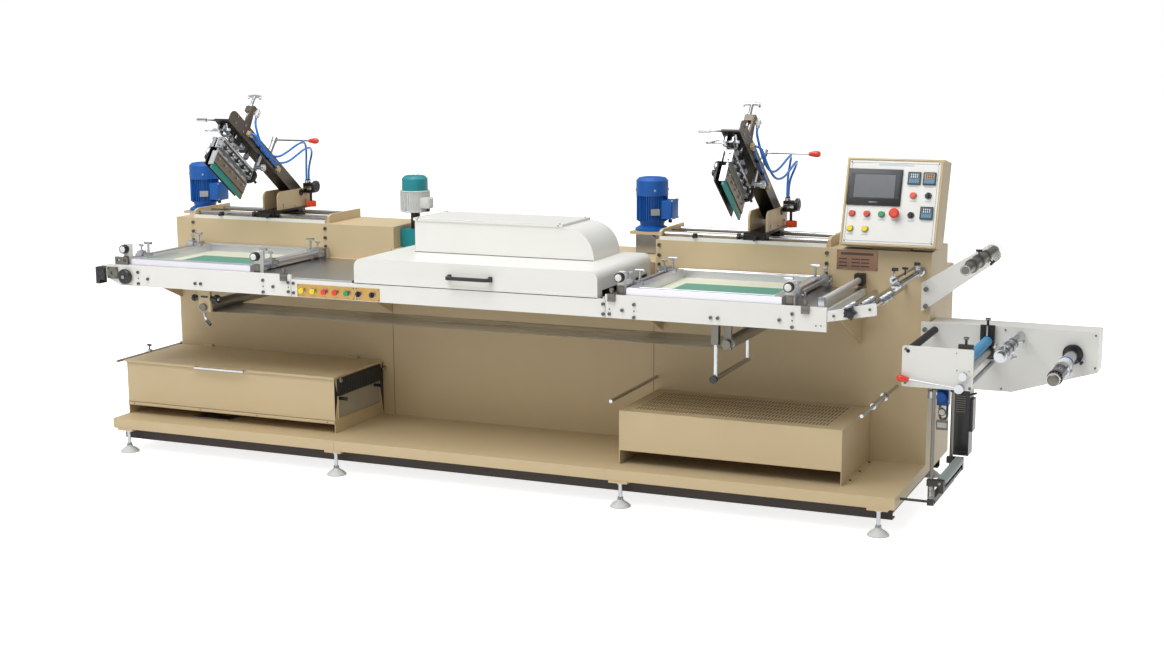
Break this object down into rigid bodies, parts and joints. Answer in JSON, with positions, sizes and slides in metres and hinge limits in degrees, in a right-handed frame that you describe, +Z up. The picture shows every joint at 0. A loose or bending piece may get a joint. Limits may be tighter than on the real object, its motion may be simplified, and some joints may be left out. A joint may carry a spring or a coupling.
{
  "type": "roll label screen printing machine",
  "caption": "Floor-standing roll-fed screen printer: swinging squeegee heads over screen frames, a dryer hood between them, winder, operator panel and boxes on a plinth.",
  "frame": {"origin": "bottom centre of the whole machine's box, on the floor", "axes": "+X along the web's travel towards the winder, +Y from the operator's side to the back, +Z up"},
  "size_m": [4.347, 1.1149, 1.5871],
  "materials": {
    "beige": "satin paint",
    "white": "gloss paint",
    "dark": "matt paint",
    "steel": "ground",
    "chrome": "polished",
    "aluminium": "satin",
    "anodised": "bronze anodised",
    "blue": "gloss paint",
    "hose": "soft",
    "rubber": "matt",
    "blade": "satin",
    "film": "film",
    "mesh": "stretched mesh",
    "display": "display glass",
    "red": "gloss",
    "green": "gloss",
    "yellow": "gloss",
    "orange": "gloss",
    "black": "gloss"
  },
  "bodies": {
    "machine": {"base_plinth": "beige", "sub_frame": "dark", "levelling_feet": "steel", "cabinet": "beige", "station_beams": "white", "guide_rods": "chrome", "drive_motors": "blue", "side_rails": "white", "print_beds": "steel", "screen_frames": "aluminium", "screen_meshes": "mesh", "screen_clamps": "aluminium", "lidded_box": "beige", "vented_box": "beige", "control_panel": "beige", "panel_displays": "display", "return_web": "film", "winder_frame": "white", "guide_bars": "chrome", "service_unit": "black"},
    "dryer_hood": {"dryer_hood": "white"},
    "box_lid": {"box_lid": "beige"},
    "return_roller": {"return_roller": "steel"},
    "web_roller": {"web_roller": "steel"},
    "tension_bar": {"tension_bar": "chrome"},
    "upper_reel_shaft": {"upper_reel_shaft": "steel"},
    "rewind_shaft": {"rewind_shaft": "chrome"},
    "nip_roller_top": {"nip_roller_top": "rubber"},
    "nip_roller_bottom": {"nip_roller_bottom": "steel"},
    "idle_roller": {"idle_roller": "rubber"},
    "dancer_carrier": {"dancer_carrier": "black"},
    "dancer_roller": {"dancer_roller": "aluminium"},
    "nip_lever": {"nip_lever": "red"},
    "start_button": {"start_button": "green"},
    "stop_button": {"stop_button": "red"},
    "reset_button": {"reset_button": "orange"},
    "jog_button_1": {"jog_button_1": "yellow"},
    "jog_button_2": {"jog_button_2": "yellow"},
    "emergency_stop": {"emergency_stop": "red"},
    "mode_selector": {"mode_selector": "black"},
    "heat_selector": {"heat_selector": "black"},
    "feed_button_1": {"feed_button_1": "yellow"},
    "feed_button_2": {"feed_button_2": "yellow"},
    "print_button_1": {"print_button_1": "red"},
    "print_button_2": {"print_button_2": "red"},
    "run_button": {"run_button": "green"},
    "lamp_selector": {"lamp_selector": "black"},
    "fan_selector": {"fan_selector": "black"},
    "carriage_1": {"carriage_1": "aluminium", "air_hoses_1": "hose"},
    "arm_1": {"arm_1": "anodised"},
    "squeegee_1": {"squeegee_1": "blade"},
    "flood_bar_1": {"flood_bar_1": "steel"},
    "head_lever_1": {"head_lever_1": "red"},
    "carriage_2": {"carriage_2": "aluminium", "air_hoses_2": "hose"},
    "arm_2": {"arm_2": "anodised"},
    "squeegee_2": {"squeegee_2": "blade"},
    "flood_bar_2": {"flood_bar_2": "steel"},
    "head_lever_2": {"head_lever_2": "red"}
  },
  "joints": [
    {"name": "head_1_travel", "type": "slide", "parent": "machine", "child": "carriage_1", "axis": [1, 0, 0], "range_m": [-0.19, 0.14]},
    {"name": "head_1_tilt", "type": "hinge", "parent": "carriage_1", "child": "arm_1", "pos_m": [-1.5585, 0.3445, 1.122], "axis": [1, 0, 0], "range_deg": [0, 37], "deforming": ["air_hoses_1"]},
    {"name": "squeegee_1_lift", "type": "slide", "parent": "arm_1", "child": "squeegee_1", "axis": [0, 0.6018, 0.7986], "range_m": [0, 0.0148]},
    {"name": "flood_bar_1_lift", "type": "slide", "parent": "arm_1", "child": "flood_bar_1", "axis": [0, 0.6018, 0.7986], "range_m": [-0.0148, 0]},
    {"name": "head_lever_1_turn", "type": "hinge", "parent": "arm_1", "child": "head_lever_1", "pos_m": [-1.5405, 0.1129, 1.29653], "axis": [0, 0.6018, 0.7986], "range_deg": [-40, 40]},
    {"name": "head_2_travel", "type": "slide", "parent": "machine", "child": "carriage_2", "axis": [1, 0, 0], "range_m": [-0.19, 0.11]},
    {"name": "head_2_tilt", "type": "hinge", "parent": "carriage_2", "child": "arm_2", "pos_m": [0.7945, 0.3445, 1.122], "axis": [1, 0, 0], "range_deg": [0, 37], "deforming": ["air_hoses_2"]},
    {"name": "squeegee_2_lift", "type": "slide", "parent": "arm_2", "child": "squeegee_2", "axis": [0, 0.6018, 0.7986], "range_m": [0, 0.0148]},
    {"name": "flood_bar_2_lift", "type": "slide", "parent": "arm_2", "child": "flood_bar_2", "axis": [0, 0.6018, 0.7986], "range_m": [-0.0148, 0]},
    {"name": "head_lever_2_turn", "type": "hinge", "parent": "arm_2", "child": "head_lever_2", "pos_m": [0.8125, 0.1129, 1.29653], "axis": [0, 0.6018, 0.7986], "range_deg": [-40, 40]},
    {"name": "hood_hinge", "type": "hinge", "parent": "machine", "child": "dryer_hood", "pos_m": [-0.1835, 0.0775, 0.905], "axis": [-1, 0, 0], "range_deg": [0, 60]},
    {"name": "lid_hinge", "type": "hinge", "parent": "machine", "child": "box_lid", "pos_m": [-1.4935, 0.0795, 0.408], "axis": [-1, 0, 0], "range_deg": [0, 35]},
    {"name": "return_roller_turn", "type": "hinge", "parent": "machine", "child": "return_roller", "pos_m": [-1.4985, -0.1495, 0.702], "axis": [0, 1, 0], "continuous": true},
    {"name": "web_roller_turn", "type": "hinge", "parent": "machine", "child": "web_roller", "pos_m": [0.8765, -0.1495, 0.702], "axis": [0, 1, 0], "continuous": true},
    {"name": "upper_reel_shaft_turn", "type": "hinge", "parent": "machine", "child": "upper_reel_shaft", "pos_m": [1.7685, -0.1495, 1.034], "axis": [0, 1, 0], "continuous": true},
    {"name": "rewind_shaft_turn", "type": "hinge", "parent": "machine", "child": "rewind_shaft", "pos_m": [2.0815, -0.1495, 0.651], "axis": [0, 1, 0], "continuous": true},
    {"name": "nip_roller_top_turn", "type": "hinge", "parent": "machine", "child": "nip_roller_top", "pos_m": [1.7565, -0.1495, 0.68], "axis": [0, 1, 0], "continuous": true},
    {"name": "nip_roller_bottom_turn", "type": "hinge", "parent": "machine", "child": "nip_roller_bottom", "pos_m": [1.7565, -0.1495, 0.64], "axis": [0, 1, 0], "continuous": true},
    {"name": "idle_roller_turn", "type": "hinge", "parent": "machine", "child": "idle_roller", "pos_m": [1.5485, -0.1495, 0.708], "axis": [0, 1, 0], "continuous": true},
    {"name": "dancer_roller_turn", "type": "hinge", "parent": "dancer_carrier", "child": "dancer_roller", "pos_m": [1.6725, -0.1495, 0.205], "axis": [0, 1, 0], "continuous": true},
    {"name": "dancer_rise", "type": "slide", "parent": "machine", "child": "dancer_carrier", "axis": [0, 0, 1], "range_m": [0, 0.26]},
    {"name": "nip_lever_turn", "type": "hinge", "parent": "machine", "child": "nip_lever", "pos_m": [1.7425, -0.3995, 0.583], "axis": [0, 1, 0], "range_deg": [-25, 60]},
    {"name": "tension_bar_slide", "type": "slide", "parent": "machine", "child": "tension_bar", "axis": [0, 0, 1], "range_m": [-0.05, 0.05]},
    {"name": "start_button_press", "type": "slide", "parent": "machine", "child": "start_button", "axis": [0, 0.9458, -0.3246], "range_m": [0, 0.003], "stiffness_N_per_m": 400, "springref_m": -0.002},
    {"name": "stop_button_press", "type": "slide", "parent": "machine", "child": "stop_button", "axis": [0, 0.9458, -0.3246], "range_m": [0, 0.003], "stiffness_N_per_m": 400, "springref_m": -0.002},
    {"name": "reset_button_press", "type": "slide", "parent": "machine", "child": "reset_button", "axis": [0, 0.9458, -0.3246], "range_m": [0, 0.003], "stiffness_N_per_m": 400, "springref_m": -0.002},
    {"name": "jog_button_1_press", "type": "slide", "parent": "machine", "child": "jog_button_1", "axis": [0, 0.9458, -0.3246], "range_m": [0, 0.003], "stiffness_N_per_m": 400, "springref_m": -0.002},
    {"name": "jog_button_2_press", "type": "slide", "parent": "machine", "child": "jog_button_2", "axis": [0, 0.9458, -0.3246], "range_m": [0, 0.003], "stiffness_N_per_m": 400, "springref_m": -0.002},
    {"name": "emergency_stop_press", "type": "slide", "parent": "machine", "child": "emergency_stop", "axis": [0, 0.9458, -0.3246], "range_m": [0, 0.003], "stiffness_N_per_m": 400, "springref_m": -0.002},
    {"name": "feed_button_1_press", "type": "slide", "parent": "machine", "child": "feed_button_1", "axis": [0, 1, 0], "range_m": [0, 0.003], "stiffness_N_per_m": 400, "springref_m": -0.002},
    {"name": "feed_button_2_press", "type": "slide", "parent": "machine", "child": "feed_button_2", "axis": [0, 1, 0], "range_m": [0, 0.003], "stiffness_N_per_m": 400, "springref_m": -0.002},
    {"name": "print_button_1_press", "type": "slide", "parent": "machine", "child": "print_button_1", "axis": [0, 1, 0], "range_m": [0, 0.003], "stiffness_N_per_m": 400, "springref_m": -0.002},
    {"name": "print_button_2_press", "type": "slide", "parent": "machine", "child": "print_button_2", "axis": [0, 1, 0], "range_m": [0, 0.003], "stiffness_N_per_m": 400, "springref_m": -0.002},
    {"name": "run_button_press", "type": "slide", "parent": "machine", "child": "run_button", "axis": [0, 1, 0], "range_m": [0, 0.003], "stiffness_N_per_m": 400, "springref_m": -0.002},
    {"name": "mode_selector_turn", "type": "hinge", "parent": "machine", "child": "mode_selector", "pos_m": [1.4425, 0.0727, 1.15696], "axis": [0, -0.9458, 0.3246], "range_deg": [-45, 45]},
    {"name": "heat_selector_turn", "type": "hinge", "parent": "machine", "child": "heat_selector", "pos_m": [1.5035, 0.09867, 1.23263], "axis": [0, -0.9458, 0.3246], "range_deg": [-45, 45]},
    {"name": "lamp_selector_turn", "type": "hinge", "parent": "machine", "child": "lamp_selector", "pos_m": [-0.7055, -0.5195, 0.809], "axis": [0, -1, 0], "range_deg": [-45, 45]},
    {"name": "fan_selector_turn", "type": "hinge", "parent": "machine", "child": "fan_selector", "pos_m": [-0.6405, -0.5195, 0.809], "axis": [0, -1, 0], "range_deg": [-45, 45]}
  ],
  "couplings": [
    {"joint": "flood_bar_1_lift", "follows": "squeegee_1_lift", "ratio": -1},
    {"joint": "flood_bar_2_lift", "follows": "squeegee_2_lift", "ratio": -1},
    {"joint": "nip_roller_bottom_turn", "follows": "nip_roller_top_turn", "ratio": -1}
  ]
}
